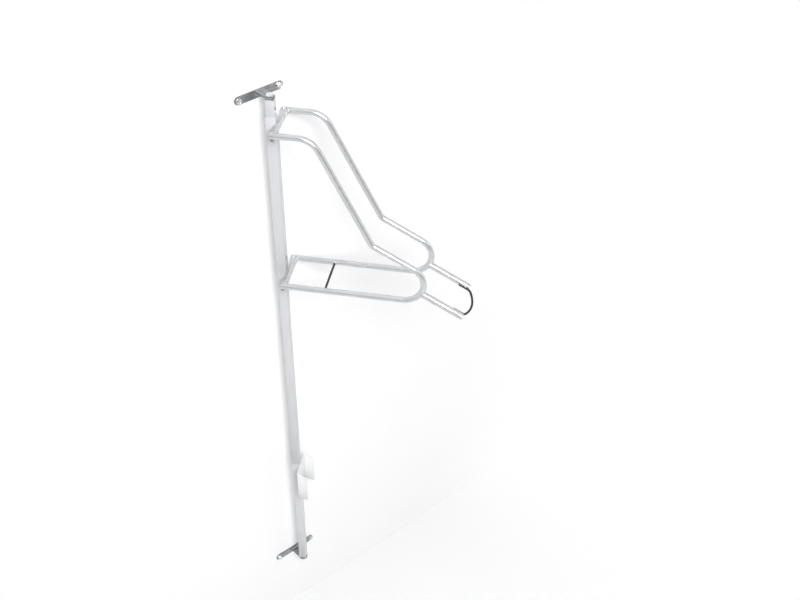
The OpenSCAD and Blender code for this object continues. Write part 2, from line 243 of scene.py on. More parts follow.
def rodCoat(book):
    look = {"black": (0.012, 0.012, 0.013), "scuff": (0.055, 0.055, 0.057), "rough": 0.36}
    grain = book.noise(book.placed(), 1600, 2, 0.6)
    drip = book.noise(sweptCoords(book, 0.5, 60), 1.0, 2)
    scuff = book.noise(sweptCoords(book, 2.0, 160), 2.0, 4, 0.65).step(0.58, 0.78)
    normal = book.bump(drip, 0.20, 0.0008)
    normal = book.bump(grain, 0.18, 0.0002, normal)
    return {"Base Color": book.mix(scuff * 0.5, look["black"], look["scuff"]),
            "Roughness": look["rough"] + scuff * 0.22 + grain * 0.06, "Normal": normal}


def whiteCoat(book):
    look = {"base": (0.86, 0.865, 0.87), "dull": (0.81, 0.815, 0.82), "speck": (0.62, 0.62, 0.62),
            "rough": 0.30, "coat": 0.2, "coatRough": 0.2}
    coords = postCoords(book)
    peel = book.noise(coords, 850, 2, 0.5)
    cloud = book.noise(coords, 22, 3)
    speck = book.noise(coords, 1900, 2, 0.7).step(0.70, 0.80)
    colour = book.mix(cloud, look["base"], look["dull"])
    colour = book.mix(speck * 0.25, colour, look["speck"])
    return {"Base Color": colour, "Roughness": look["rough"] + cloud * 0.10 + peel * 0.05,
            "Normal": book.bump(peel, 0.18, 0.0003), "Coat Weight": look["coat"],
            "Coat Roughness": look["coatRough"]}


def blackPlastic(book):
    look = {"black": (0.018, 0.019, 0.020), "worn": (0.034, 0.035, 0.037), "rough": 0.40}
    grain = book.noise(book.placed(), 2400, 2, 0.6)
    return {"Base Color": book.mix(grain, look["black"], look["worn"]),
            "Roughness": look["rough"] + grain * 0.12, "Normal": book.bump(grain, 0.2, 0.0001)}


finishes = {"tube_zinc": zincTube, "weld": weldZinc, "post_silver": silverCoat, "bracket_steel": flatSteel,
            "bolt_zinc": boltZinc, "screw_steel": screwSteel, "rod_coating": rodCoat,
            "guide_white": whiteCoat, "slide_plastic": blackPlastic}
paint = {slotName: material(build.__name__, build) for slotName, build in finishes.items()}
print("materials:", len(paint))


# Meshes and finished pieces

smooth = {"mergeWithin": 0.002, "crease": 35, "roundCrease": 50, "beadCrease": 60}   # creases in degrees


def meshObject(name, points, faces=(), edges=()):
    mesh = bpy.data.meshes.new(name)
    mesh.from_pydata([tuple(p) for p in points], edges, faces)
    made = bpy.data.objects.new(name, mesh)
    scene.collection.objects.link(made)
    return made


def pointValues(made, name, kind, values):   # an attribute on the points, filled before the next is made
    attribute = made.data.attributes.new(name, kind, "POINT")
    for item, value in zip(attribute.data, values):
        setattr(item, "vector" if kind == "FLOAT_VECTOR" else "value", value)


def chain(count, closed=False):   # edges from point to point
    edges = [(i, i + 1) for i in range(count - 1)]
    return edges + [(count - 1, 0)] if closed else edges


def bake(made):   # the evaluated shape as a plain mesh, with nothing live left on it
    graph = bpy.context.evaluated_depsgraph_get()
    graph.update()
    mesh = bpy.data.meshes.new_from_object(made.evaluated_get(graph))
    name = made.name
    made.name = name + ".old"
    fresh = bpy.data.objects.new(name, mesh)
    scene.collection.objects.link(fresh)
    bpy.data.objects.remove(made)
    mesh.name = name
    return fresh


def settle(made, place, body, slotName, *nodes, skin=None, crease=smooth["crease"]):
    mesh = made.data
    tidy = bmesh.new()
    tidy.from_mesh(mesh)
    bmesh.ops.remove_doubles(tidy, verts=tidy.verts, dist=smooth["mergeWithin"])
    bmesh.ops.recalc_face_normals(tidy, faces=tidy.faces)
    tidy.to_mesh(mesh)
    tidy.free()
    mesh.transform(place)
    for face in mesh.polygons:
        face.use_smooth = True
    mesh.set_sharp_from_angle(angle=radians(crease))
    mesh.materials.clear()
    mesh.materials.append(paint[skin or slotName])
    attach(made, body)
    if nodes:
        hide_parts(*nodes)
    return made


def ringFaces(rings, count, closed=False):   # four-sided faces between rings of points
    faces = []
    last = rings if closed else rings - 1
    for i in range(last):
        a, b = i * count, (i + 1) % rings * count
        faces += [(a + j, a + (j + 1) % count, b + (j + 1) % count, b + j) for j in range(count)]
    return faces


def angles(count):
    return [2 * pi * i / count for i in range(count)]


def circle(radius, count):
    return [(radius * cos(a), radius * sin(a)) for a in angles(count)]


# Geometry Nodes trees: each is opened with its named inputs and closed with its finish.

def openTree(name, inputs, output):
    tree = bpy.data.node_groups.new(name, "GeometryNodeTree")
    for label, kind in inputs.items():
        tree.interface.new_socket(label, in_out="INPUT", socket_type="NodeSocket" + kind)
    tree.interface.new_socket(output, in_out="OUTPUT", socket_type="NodeSocketGeometry")
    book = Book(tree)
    return book, book.node("NodeGroupInput", out=tuple(range(len(inputs))))


def closeTree(book, shape, finish):
    shape = book.node("GeometryNodeRealizeInstances", {}, {"Geometry": shape})
    shape = book.node("GeometryNodeSetMaterial", {}, {"Geometry": shape, "Material": finish})
    book.node("NodeGroupOutput", {}, {0: shape})
    return book.tree


def setInputs(modifier, values):   # a modifier's inputs go by their sockets' identifiers
    for item in modifier.node_group.interface.items_tree:
        if item.item_type == "SOCKET" and item.in_out == "INPUT" and item.name in values:
            modifier[item.identifier] = values[item.name]


def grow(made, tree, values):
    modifier = made.modifiers.new(tree.name, "NODES")
    modifier.node_group = tree
    setInputs(modifier, values)
    return bake(made)


# Tubes: one tree sweeps a round tube along a path of corners, each with its own bend radius.

def sweepTree():
    inputs = {"Path": "Geometry", "Tube Radius": "Float", "Points Round": "Int", "Points Per Bend": "Int",
              "Finish": "Material"}
    book, (path, radius, around, perBend, finish) = openTree("sweptTube", inputs, "Tube")
    bendRadius = book.node("GeometryNodeInputNamedAttribute", {"data_type": "FLOAT"}, {"Name": "bendRadius"})
    line = book.node("GeometryNodeMeshToCurve", {}, {"Mesh": path})
    line = book.node("GeometryNodeFilletCurve", {"mode": "POLY"},
                     {"Curve": line, "Count": perBend, "Radius": bendRadius, "Limit Radius": False})
    length = book.node("GeometryNodeSplineParameter", out="Length")
    line = book.node("GeometryNodeStoreNamedAttribute", {"data_type": "FLOAT", "domain": "POINT"},
                     {"Geometry": line, "Name": "along", "Value": length * mm})
    ring = book.node("GeometryNodeCurvePrimitiveCircle", {"mode": "RADIUS"},
                     {"Resolution": around, "Radius": radius})
    where = book.node("GeometryNodeInputPosition")
    unit = book.node("ShaderNodeVectorMath", {"operation": "NORMALIZE"}, {0: where})
    ring = book.node("GeometryNodeStoreNamedAttribute", {"data_type": "FLOAT_VECTOR", "domain": "POINT"},
                     {"Geometry": ring, "Name": "skin", "Value": unit})
    tube = book.node("GeometryNodeCurveToMesh", {},
                     {"Curve": line, "Profile Curve": ring, "Fill Caps": True})
    return closeTree(book, tube, finish)


def pathObject(name, corners):   # corners are (point, bend radius)
    made = meshObject(name, [point for point, _ in corners], edges=chain(len(corners)))
    pointValues(made, "bendRadius", "FLOAT", [radius for _, radius in corners])
    return made


# cross is the cross tubes' distance in front of the post's middle, and the arms end tail behind them.
cradle = {"tube": 18, "wall": 1.5, "width": 145, "lowArm": 1328, "rise": 523, "cross": 23, "tail": 11,
          "boreDeep": 40, "shoulderOut": 131, "shoulderBend": 62, "kneeOut": 295, "kneeRise": 186,
          "kneeBend": 24, "slope": 29.5, "noseBend": 63, "pointsRound": 40, "pointsPerBend": 28}
half = cradle["width"] / 2
tubeRadius = cradle["tube"] / 2
lowArm = cradle["lowArm"]
highArm = lowArm + cradle["rise"]
sides = {"left": -half, "right": half}
arms = {"upper": highArm, "lower": lowArm}
kneeZ = lowArm + cradle["kneeRise"]
slope = radians(cradle["slope"])
noseZ = lowArm + cradle["noseBend"]
noseRun = (kneeZ - cradle["noseBend"] * cos(slope) - noseZ) / sin(slope)
noseOut = cradle["kneeOut"] + noseRun * cos(slope) - cradle["noseBend"] * sin(slope)
noseTip = noseOut + cradle["noseBend"] * tan(quarter - slope / 2)   # where the nose's straights would meet
sweep = sweepTree()
tubeInputs = {"Tube Radius": tubeRadius, "Points Round": cradle["pointsRound"],
              "Points Per Bend": cradle["pointsPerBend"], "Finish": paint["tube_zinc"]}


def openEnds(made, wall, deep):   # bores both closed ends of a swept tube
    mesh = bmesh.new()
    mesh.from_mesh(made.data)
    caps = [face for face in mesh.faces if len(face.verts) == cradle["pointsRound"]]
    bmesh.ops.inset_individual(mesh, faces=caps, thickness=wall)
    for cap in caps:
        inwards = cap.normal * -deep
        side = bmesh.ops.extrude_discrete_faces(mesh, faces=[cap])["faces"][0]
        bmesh.ops.translate(mesh, verts=side.verts, vec=inwards)
    mesh.to_mesh(made.data)
    mesh.free()
    return made


for side, v in sides.items():
    start = cradle["tail"] - cradle["cross"]
    corners = [((v, start, highArm), 0), ((v, -cradle["shoulderOut"], highArm), cradle["shoulderBend"]),
               ((v, -cradle["kneeOut"], kneeZ), cradle["kneeBend"]),
               ((v, -noseTip, lowArm), cradle["noseBend"]), ((v, start, lowArm), 0)]
    tube = grow(pathObject(side + "SideTube", corners), sweep, tubeInputs)
    openEnds(tube, cradle["wall"], cradle["boreDeep"])
    settle(tube, swungPlace, "swivel", "tube_zinc", side + "_side_tube")
print("side tubes swept")

# Extension bars: hollow, square cut at the tip and coped to the nose bend. Cross tubes: coped at both ends.
extension = {"tube": 20, "wall": 1.5, "length": 207, "edge": 0.3}
barRadius = extension["tube"] / 2
cope = {"blunt": 0.125, "points": 48}
hornRadius = tubeRadius - cope["blunt"]


def barPoint(s, v, t):   # s along the bar from the nose's centre, t square to it and upwards
    out = noseOut + s * cos(slope) + t * sin(slope)
    return Vector((v, -out, noseZ - s * sin(slope) + t * cos(slope)))


def copeStart(across, up):   # distance from the nose's centre at which the bar meets the bent tube
    flank = min(abs(across), hornRadius)
    reach = cradle["noseBend"] + sqrt(tubeRadius ** 2 - flank ** 2)
    return sqrt(reach ** 2 - up ** 2)


def pipe(name, rings, heart):   # rings are of points round the pipe, the first one inside at the start
    points = [point for ring in rings for point in ring]
    count = len(rings[0])
    made = meshObject(name, points, ringFaces(len(rings), count, True))
    pointValues(made, "skin", "FLOAT_VECTOR", [(x, y, 0) for x, y in circle(1, count)] * len(rings))
    pointValues(made, "along", "FLOAT", [(point - heart).length * mm for point in points])
    return made


def extensionBar(name, v):
    inner, edge, tip = barRadius - extension["wall"], extension["edge"], extension["length"]
    rings = []
    for radius, end in ((inner, "cope"), (barRadius, "cope"), (barRadius, tip - edge),
                        (barRadius - edge, tip), (inner + edge, tip), (inner, tip - edge)):
        rings.append([barPoint(copeStart(x, up) if end == "cope" else end, v + x, up)
                      for x, up in circle(radius, cope["points"])])
    return pipe(name, rings, barPoint(0, v, 0))


def crossEnd(up):   # distance from the middle at which a cross tube meets the arm
    return half - sqrt(tubeRadius ** 2 - min(abs(up), hornRadius) ** 2)


def crossTube(name, z):
    flat = cradle["cross"] - rack["sleeveWide"] / 2   # flattened on the sleeve
    inner = tubeRadius - cradle["wall"]
    rings = []
    for radius, way in ((inner, -1), (tubeRadius, -1), (tubeRadius, 1), (inner, 1)):
        rings.append([Vector((way * crossEnd(up), min(y, flat) - cradle["cross"], z + up))
                      for y, up in circle(radius, cope["points"])])
    return pipe(name, rings, Vector((-half, -cradle["cross"], z)))


for side, v in sides.items():
    settle(extensionBar(side + "Extension", v), swungPlace, "swivel", "tube_zinc", side + "_extension")
for level, z in arms.items():
    settle(crossTube(level + "CrossTube", z), swungPlace, "swivel", "tube_zinc", level + "_cross_tube")

# Rods: coated, one between the lower arms and one round the tips of the extension bars.
rods = {"thick": 7, "innerOut": 148, "bow": 22, "bowRadius": 105, "cornerRadius": 14, "leg": 30, "gap": 0.1,
        "lap": 0.1, "cornerSteps": 14, "bowSteps": 12, "pointsRound": 24, "pointsPerBend": 2}
rodRadius = rods["thick"] / 2
rodInputs = {"Tube Radius": rodRadius, "Points Round": rods["pointsRound"],
             "Points Per Bend": rods["pointsPerBend"], "Finish": paint["rod_coating"]}
reach = half - tubeRadius + rods["lap"]
innerRod = pathObject("innerRestRod", [((x, -rods["innerOut"], lowArm), 0) for x in (-reach, reach)])
settle(grow(innerRod, sweep, rodInputs), swungPlace, "swivel", "rod_coating", "inner_rest_rod")

legOut = half - barRadius - rods["gap"] - rodRadius
bowCentre = extension["length"] + rods["bow"] - rods["bowRadius"]
bowInside = rods["bowRadius"] - rods["cornerRadius"]
bowHalf = asin((legOut - rods["cornerRadius"]) / bowInside)
legEnd = bowCentre + bowInside * cos(bowHalf)
bowPath = [(legEnd - rods["leg"], legOut)]               # leg, corner and half the bow, then its mirror image
for i in range(rods["cornerSteps"] + 1):
    a = quarter + (bowHalf - quarter) * i / rods["cornerSteps"]
    bowPath.append((legEnd + rods["cornerRadius"] * cos(a), legOut - rods["cornerRadius"] * (1 - sin(a))))
for i in range(1, rods["bowSteps"] + 1):
    a = bowHalf * (1 - i / rods["bowSteps"])
    bowPath.append((bowCentre + rods["bowRadius"] * cos(a), rods["bowRadius"] * sin(a)))
bowPath += [(s, -v) for s, v in reversed(bowPath[:-1])]
outerRod = pathObject("outerRestRod", [(barPoint(s, v, 0), 0) for s, v in bowPath])
settle(grow(outerRod, sweep, rodInputs), swungPlace, "swivel", "rod_coating", "outer_rest_rod")
print("bars and rods made")


# Weld beads: the same kind of tree, with a ripple for each stop of the torch.
weld = {"cope": 1.3, "rod": 1.0, "cross": 1.8, "arm": 1.7, "pitch": 1.9, "rodPitch": 0.8,
        "stepShare": 0.2, "thin": 0.84, "swell": 0.16, "roundness": 0.6, "uneven": 0.03, "pointsRound": 10,
        "wider": 1.04, "saddleOff": 0.4, "saddlePoints": 48, "crossOff": 0.3, "crossPoints": 40,
        "ringOff": 0.3, "ringSink": 0.2, "ringPoints": 28, "seamIn": 0.25, "seamUp": 2.1,
        "seamStops": (0.9, 0.5, 0.1), "sleeveOff": 1.4, "sleeveUp": 6.7, "sleeveEnd": 1.8,
        "armOff": 0.9, "armEnd": 1.5}


def beadTree():
    inputs = {"Path": "Geometry", "Bead Radius": "Float", "Ripple Pitch": "Float", "Seed": "Int",
              "Finish": "Material"}
    book, (path, radius, pitch, seed, finish) = openTree("weldBead", inputs, "Bead")
    line = book.node("GeometryNodeMeshToCurve", {}, {"Mesh": path})
    line = book.node("GeometryNodeResampleCurve", {"mode": "LENGTH"},
                     {"Curve": line, "Length": pitch * weld["stepShare"]})
    length = book.node("GeometryNodeSplineParameter", out="Length")
    wave = abs((length / pitch * pi).maths("SINE")) ** weld["roundness"]
    uneven = book.node("FunctionNodeRandomValue", {"data_type": "FLOAT"},
                       {2: 1 - weld["uneven"], 3: 1 + weld["uneven"], "Seed": seed}, 1)   # float sockets
    line = book.node("GeometryNodeSetCurveRadius", {},
                     {"Curve": line, "Radius": (weld["thin"] + wave * weld["swell"]) * uneven})
    size = book.node("GeometryNodeInputRadius")
    ring = book.node("GeometryNodeCurvePrimitiveCircle", {"mode": "RADIUS"},
                     {"Resolution": weld["pointsRound"], "Radius": radius})
    bead = book.node("GeometryNodeCurveToMesh", {},
                     {"Curve": line, "Profile Curve": ring, "Scale": size, "Fill Caps": True})
    return closeTree(book, bead, finish)


def beads(name, place, body, size, pitch, paths):   # paths are lists of points, each with whether it closes
    points, edges = [], []
    for line, closed in paths:
        first = len(points)
        points += line
        edges += [(first + a, first + b) for a, b in chain(len(line), closed)]
    inputs = {"Bead Radius": size, "Ripple Pitch": pitch, "Seed": 7, "Finish": paint["weld"]}
    made = grow(meshObject(name, points, edges=edges), beadShape, inputs)
    return settle(made, place, body, "tube_zinc", skin="weld", crease=smooth["beadCrease"])


beadShape = beadTree()
saddles = []                                             # round the copes of the extension bars
for v in sides.values():
    line = []
    for across, up in circle(barRadius, weld["saddlePoints"]):
        start = copeStart(across, up) + weld["saddleOff"]
        line.append(barPoint(start, v + across * weld["wider"], up * weld["wider"]))
    saddles.append((line, True))
for way in (-1, 1):                                      # and round the ends of the cross tubes
    for z in arms.values():
        line = [(way * (crossEnd(up) - weld["crossOff"]), y * weld["wider"] - cradle["cross"],
                 z + up * weld["wider"]) for y, up in circle(tubeRadius, weld["crossPoints"])]
        saddles.append((line, True))
beads("tubeWelds", swungPlace, "swivel", weld["cope"], weld["pitch"], saddles)

rodSeams = []
for way in (-1, 1):
    ring = []
    for along, up in circle(rodRadius + weld["ringOff"], weld["ringPoints"]):
        v = half - sqrt(tubeRadius ** 2 - up ** 2) - weld["ringSink"]
        ring.append((way * v, -rods["innerOut"] - along, lowArm + up))
    rodSeams.append((ring, True))
    for up in (-weld["seamUp"], weld["seamUp"]):         # along both sides of the outer rod's legs
        v = way * (legOut + rodRadius - weld["seamIn"])
        seam = [barPoint(legEnd - rods["leg"] * share, v, up) for share in weld["seamStops"]]
        rodSeams.append((seam, False))
beads("rodWelds", swungPlace, "swivel", weld["rod"], weld["pitch"] * weld["rodPitch"], rodSeams)


def straightSeam(end, y, z):
    return [(x, y, z) for x in (-end, 0, end)], False


sleeveRadius = rack["sleeveWide"] / 2
sleeveSeams = [straightSeam(sleeveRadius - weld["sleeveEnd"], -(sleeveRadius + weld["sleeveOff"]), z + up)
               for z in arms.values() for up in (-weld["sleeveUp"], weld["sleeveUp"])]
beads("crossTubeWelds", swungPlace, "swivel", weld["cross"], weld["pitch"], sleeveSeams)

bracket = {"barHigh": 25, "barThick": 5, "armWide": 30, "armThick": 5, "edge": 0.5, "boltHole": 4.5,
           "pivotHole": 6.05, "edgeSteps": 2, "barSteps": 28, "armSteps": 36, "holeSteps": 40}
barRise = {"upper": rack["boltRise"], "lower": 0}
armTop = {"upper": rack["boltRise"] + bracket["barHigh"] / 2, "lower": bracket["armThick"] / 2}
seamHeights = (armTop["lower"] + weld["armOff"], armTop["lower"] - bracket["armThick"] - weld["armOff"],
               armTop["upper"] - bracket["armThick"] - weld["armOff"])
armSeams = [straightSeam(bracket["armWide"] / 2 - weld["armEnd"], -(bracket["barThick"] + weld["armOff"]), z)
            for z in seamHeights]
beads("armWelds", fixedPlace, "wall_brackets", weld["arm"], weld["pitch"], armSeams)
print("welds laid")


# Flat steel: outlines filled and given a thickness, with a small round on each edge.

def plate(name, outlines, thick, edge):
    curve = bpy.data.curves.new(name, "CURVE")
    curve.dimensions = "2D"
    curve.fill_mode = "BOTH"
    curve.extrude = thick / 2 - edge
    curve.bevel_depth = edge
    curve.bevel_resolution = bracket["edgeSteps"]
    curve.offset = -edge
    for outline in outlines:
        spline = curve.splines.new("POLY")
        spline.points.add(len(outline) - 1)
        for point, (x, y) in zip(spline.points, outline):
            point.co = (x, y, 0, 1)
        spline.use_cyclic_u = True
    made = bpy.data.objects.new(name, curve)
    scene.collection.objects.link(made)
    return bake(made)


def arc(centre, radius, start, end, steps):   # angles in degrees
    turns = [radians(start + (end - start) * i / steps) for i in range(steps + 1)]
    return [(centre[0] + radius * cos(a), centre[1] + radius * sin(a)) for a in turns]


def hole(centre, radius):   # runs against the outline, so that its edge rounds the other way
    return arc(centre, radius, 360, 0, bracket["holeSteps"])[:-1]


boltX = rack["boltSpan"] / 2
barEnd = bracket["barHigh"] / 2
barOutline = (arc((boltX, 0), barEnd, -90, 90, bracket["barSteps"])
              + arc((-boltX, 0), barEnd, 90, 270, bracket["barSteps"]))
barHoles = [hole((x, 0), bracket["boltHole"]) for x in (boltX, -boltX)]
for level, z in barRise.items():
    bar = plate(level + "WallBar", [barOutline, *barHoles], bracket["barThick"], bracket["edge"])
    upright = Matrix.Rotation(quarter, 4, "X")
    bar.data.transform(Matrix.Translation((0, -bracket["barThick"] / 2, z)) @ upright)
    settle(bar, fixedPlace, "wall_brackets", "bracket_steel", level + "_wall_bar")

armLong = rack["wallGap"] - bracket["barThick"]
armEnd = bracket["armWide"] / 2
armOutline = [(armEnd, armLong), (-armEnd, armLong)] + arc((0, 0), armEnd, 180, 360, bracket["armSteps"])
for level, top in armTop.items():
    arm = plate(level + "Arm", [armOutline, hole((0, 0), bracket["pivotHole"])],
                bracket["armThick"], bracket["edge"])
    arm.data.transform(Matrix.Translation((0, -rack["wallGap"], top - bracket["armThick"] / 2)))
    settle(arm, fixedPlace, "wall_brackets", "bracket_steel", level + "_arm")
print("brackets made")


# Bolts and screws: one of each kind is drawn, and a tree sets it on its points.

def scatterTree():
    inputs = {"Points": "Geometry", "Piece": "Object", "Finish": "Material"}
    book, (points, piece, finish) = openTree("setOnPoints", inputs, "Pieces")
    shape = book.node("GeometryNodeObjectInfo", {}, {"Object": piece}, "Geometry")
    turn = book.node("GeometryNodeInputNamedAttribute", {"data_type": "FLOAT_VECTOR"}, {"Name": "turn"})
    turn = book.node("FunctionNodeEulerToRotation", {}, {0: turn})
    spots = book.node("GeometryNodeMeshToPoints", {}, {"Mesh": points})
    made = book.node("GeometryNodeInstanceOnPoints", {},
                     {"Points": spots, "Instance": shape, "Rotation": turn})
    return closeTree(book, made, finish)


def setOut(name, piece, spots, place, body, slotName, node):   # spots are (place, turn in radians)
    made = meshObject(name, [spot for spot, _ in spots])
    pointValues(made, "turn", "FLOAT_VECTOR", [turn for _, turn in spots])
    made = grow(made, scatter, {"Piece": piece, "Finish": paint[slotName]})
    bpy.data.objects.remove(piece)
    return settle(made, place, body, slotName, node)


def hexRadius(flats, a):   # from the middle to the side of a hexagon
    return flats / 2 / cos((a + pi / 6) % (pi / 3) - pi / 6)


def turnedSolid(name, rings, count):   # rings are functions of the angle that give radius and height
    points = []
    for ring in rings:
        for a in angles(count):
            r, z = ring(a)
            points.append((r * cos(a), r * sin(a), z))
    faces = ringFaces(len(rings), count)
    faces += [tuple(reversed(range(count))), tuple(range((len(rings) - 1) * count, len(rings) * count))]
    return meshObject(name, points, faces)


# Crown, core, thread and dish are shares of the head or the shank; the rest is in millimetres and degrees.
bolts = {"crown": 0.94, "chamfer": 28, "under": 0.7, "seat": 0.3, "dish": 0.72, "dishFloor": 0.66,
         "dishDeep": 0.35, "fillet": 0.25, "filletHigh": 0.4, "endChamfer": 0.8, "core": 0.36,
         "threadDeep": 0.075, "taper": 0.10, "stepsPerTurn": 6, "runOut": 0.05, "points": 48}


def plain(radius, z):   # a round ring
    return lambda a: (radius, z)


def ringSolid(name, outer, inner, high, edge):
    profile = [(inner + edge, 0), (outer - edge, 0), (outer, edge), (outer, high - edge),
               (outer - edge, high), (inner + edge, high), (inner, high - edge), (inner, edge)]
    count = bolts["points"]
    points = [(x, y, z) for r, z in profile for x, y in circle(r, count)]
    return meshObject(name, points, ringFaces(len(profile), count, True))


def threadRing(z, shank, long, pitch):   # a rounded V, chamfered at the bolt's end
    def ring(a):
        turn = ((z + long) / pitch + a / (2 * pi)) % 1
        depth = bolts["threadDeep"] * shank * abs(2 * turn - 1)
        taper = max(0.0, 1 - (z + long) / pitch) * bolts["taper"] * shank
        return shank / 2 - max(depth, taper), z
    return ring


def hexBolt(name, flats, high, shank, long, thread=0, pitch=1, neck=None):
    crown = flats / 2 * bolts["crown"]
    chamfer = tan(radians(bolts["chamfer"]))
    top = (neck or shank) / 2

    def corner(a):                                       # how far a hexagon's corner stands past the crown
        return max(0, hexRadius(flats, a) - crown) * chamfer

    if thread:
        steps = int(thread / pitch * bolts["stepsPerTurn"])
        rings = [plain(shank * bolts["core"], -long)]
        rings += [threadRing(-long + thread * i / steps, shank, long, pitch) for i in range(steps + 1)]
        rings.append(plain(top, -long + thread + bolts["runOut"]))
    else:
        rings = [plain(top - bolts["endChamfer"], -long), plain(top, -long + bolts["endChamfer"])]
    rings += [plain(top, -bolts["filletHigh"]), plain(top + bolts["fillet"], 0),
              plain(crown, 0), plain(crown, bolts["seat"]),
              lambda a: (hexRadius(flats, a), bolts["seat"] + corner(a) * bolts["under"]),
              lambda a: (hexRadius(flats, a), high - corner(a)),
              plain(crown, high), plain(crown * bolts["dish"], high),
              plain(crown * bolts["dishFloor"], high - bolts["dishDeep"])]
    return turnedSolid(name, rings, bolts["points"])


scatter = scatterTree()
wallBolt = {"flats": 13, "high": 5.5, "shank": 8, "neck": 7.5, "bite": 45, "pitch": 1.25, "washer": 18,
            "washerThick": 1.6, "washerPlay": 0.05, "washerEdge": 0.25, "turns": (8, 41, 23, 52)}
under = wallBolt["washerThick"]
bolt = hexBolt("wallBolt", wallBolt["flats"], wallBolt["high"], wallBolt["shank"],
               bracket["barThick"] + wallBolt["bite"] + under, wallBolt["bite"], wallBolt["pitch"],
               wallBolt["neck"])
places = [(x, z) for z in (0, rack["boltRise"]) for x in (-boltX, boltX)]
spots = [((x, -bracket["barThick"] - under, z), (quarter, radians(turn), 0))
         for (x, z), turn in zip(places, wallBolt["turns"])]
setOut("wallBolts", bolt, spots, fixedPlace, "wall_brackets", "bolt_zinc", "wall_bolts")

washer = ringSolid("wallWasher", wallBolt["washer"] / 2, wallBolt["shank"] / 2 + wallBolt["washerPlay"],
                   under, wallBolt["washerEdge"])
spots = [((x, -bracket["barThick"], z), (quarter, 0, 0)) for x, z in sorted(places)]
setOut("wallWashers", washer, spots, fixedPlace, "wall_brackets", "bolt_zinc", "wall_washers")

pivot = {"flats": 19, "high": 7.5, "shank": 12, "reach": 42, "washer": 24, "washerThick": 2,
         "washerEdge": 0.3, "gap": 0.3, "upperTurn": 17, "lowerTurn": 5}
pivotLong = bracket["armThick"] + pivot["washerThick"] + pivot["gap"] + pivot["reach"]
bolt = hexBolt("pivotBolt", pivot["flats"], pivot["high"], pivot["shank"], pivotLong)
spots = [((0, -rack["wallGap"], armTop["upper"]), (0, 0, radians(pivot["upperTurn"]))),
         ((0, -rack["wallGap"], armTop["lower"] - bracket["armThick"]), (pi, 0, radians(pivot["lowerTurn"])))]
setOut("pivotBolts", bolt, spots, fixedPlace, "wall_brackets", "bolt_zinc", "pivot_bolts")

washer = ringSolid("slideWasher", pivot["washer"] / 2, bracket["pivotHole"], pivot["washerThick"],
                   pivot["washerEdge"])
spots = [((0, -rack["wallGap"], z), (0, 0, 0))
         for z in (armTop["lower"], armTop["upper"] - bracket["armThick"] - pivot["washerThick"])]
setOut("slideWashers", washer, spots, fixedPlace, "wall_brackets", "slide_plastic", "slide_washers")

screw = {"head": 9.5, "high": 2.8, "shank": 5, "long": 6, "key": 3.2, "flushLong": 10, "tip": 0.5,
         "rim": 0.15, "rimHigh": 0.25, "domeSteps": 6, "domeShare": 0.92, "keyRim": 1.28, "keyEdge": 0.2,
         "keyFloor": 0.35, "pit": 0.4, "pitFloor": 0.25, "flushRim": 0.05, "flushEdge": 0.15,
         "flushFace": 0.02, "flushKeyRim": 1.3, "flushKeyEdge": 0.25, "flushKeyFloor": 2.0, "flushPit": 2.3,
         "points": 36}
shankRadius, headRadius, keyRadius = screw["shank"] / 2, screw["head"] / 2, screw["key"] / 2


def shankRings(long):
    return [plain(shankRadius - screw["tip"], -long), plain(shankRadius, -long + screw["tip"])]


def socketRing(z):   # one ring of the hexagon socket
    return lambda a: (hexRadius(screw["key"], a), z)


def buttonScrew(name):
    high, rim = screw["high"], screw["rimHigh"]
    rings = shankRings(screw["long"])
    rings += [plain(shankRadius, 0), plain(headRadius - screw["rim"], 0), plain(headRadius, rim)]
    for i in range(1, screw["domeSteps"]):
        t = i / screw["domeSteps"] * screw["domeShare"]
        rings.append(plain(headRadius * sqrt(1 - t * t), rim + (high - rim) * sin(t * quarter)))
    rings += [plain(keyRadius * screw["keyRim"], high), socketRing(high - screw["keyEdge"]),
              socketRing(high * screw["keyFloor"]), plain(screw["pit"], high * screw["pitFloor"])]
    return turnedSolid(name, rings, screw["points"])


def flushScrew(name):
    rings = shankRings(screw["flushLong"])
    rings += [plain(shankRadius, shankRadius - headRadius),
              plain(headRadius - screw["flushRim"], -screw["flushEdge"]),
              plain(headRadius - screw["flushEdge"], -screw["flushFace"]),
              plain(keyRadius * screw["flushKeyRim"], -screw["flushFace"]),
              socketRing(-screw["flushKeyEdge"]), socketRing(-screw["flushKeyFloor"]),
              plain(screw["pit"], -screw["flushPit"])]
    return turnedSolid(name, rings, screw["points"])


post = {"wall": 2, "edge": 2, "bottom": 4.8, "joint": 496, "top": 1925.2, "chamfer": 0.35, "edgeSteps": 6,
        "boreEdge": 0.3, "sleeveInside": 25.2, "sleeveBottom": 1316, "sleeveTop": 1872, "grip": 104,
        "topScrew": 30, "sleeveScrew": 66, "upperSideScrew": 73, "lowerSideScrew": 50}
postRadius = rack["postWide"] / 2
front, left = (0, quarter, -quarter), (0, quarter, pi)
spots = [((0, -postRadius, post["top"] - post["topScrew"]), front),
         ((0, -sleeveRadius, post["sleeveBottom"] + post["sleeveScrew"]), front),
         ((-sleeveRadius, 0, post["sleeveTop"] - post["upperSideScrew"]), left),
         ((-postRadius, 0, post["sleeveBottom"] - post["lowerSideScrew"]), left)]
setOut("postScrews", buttonScrew("postScrew"), spots, swungPlace, "swivel", "screw_steel", "post_screws")

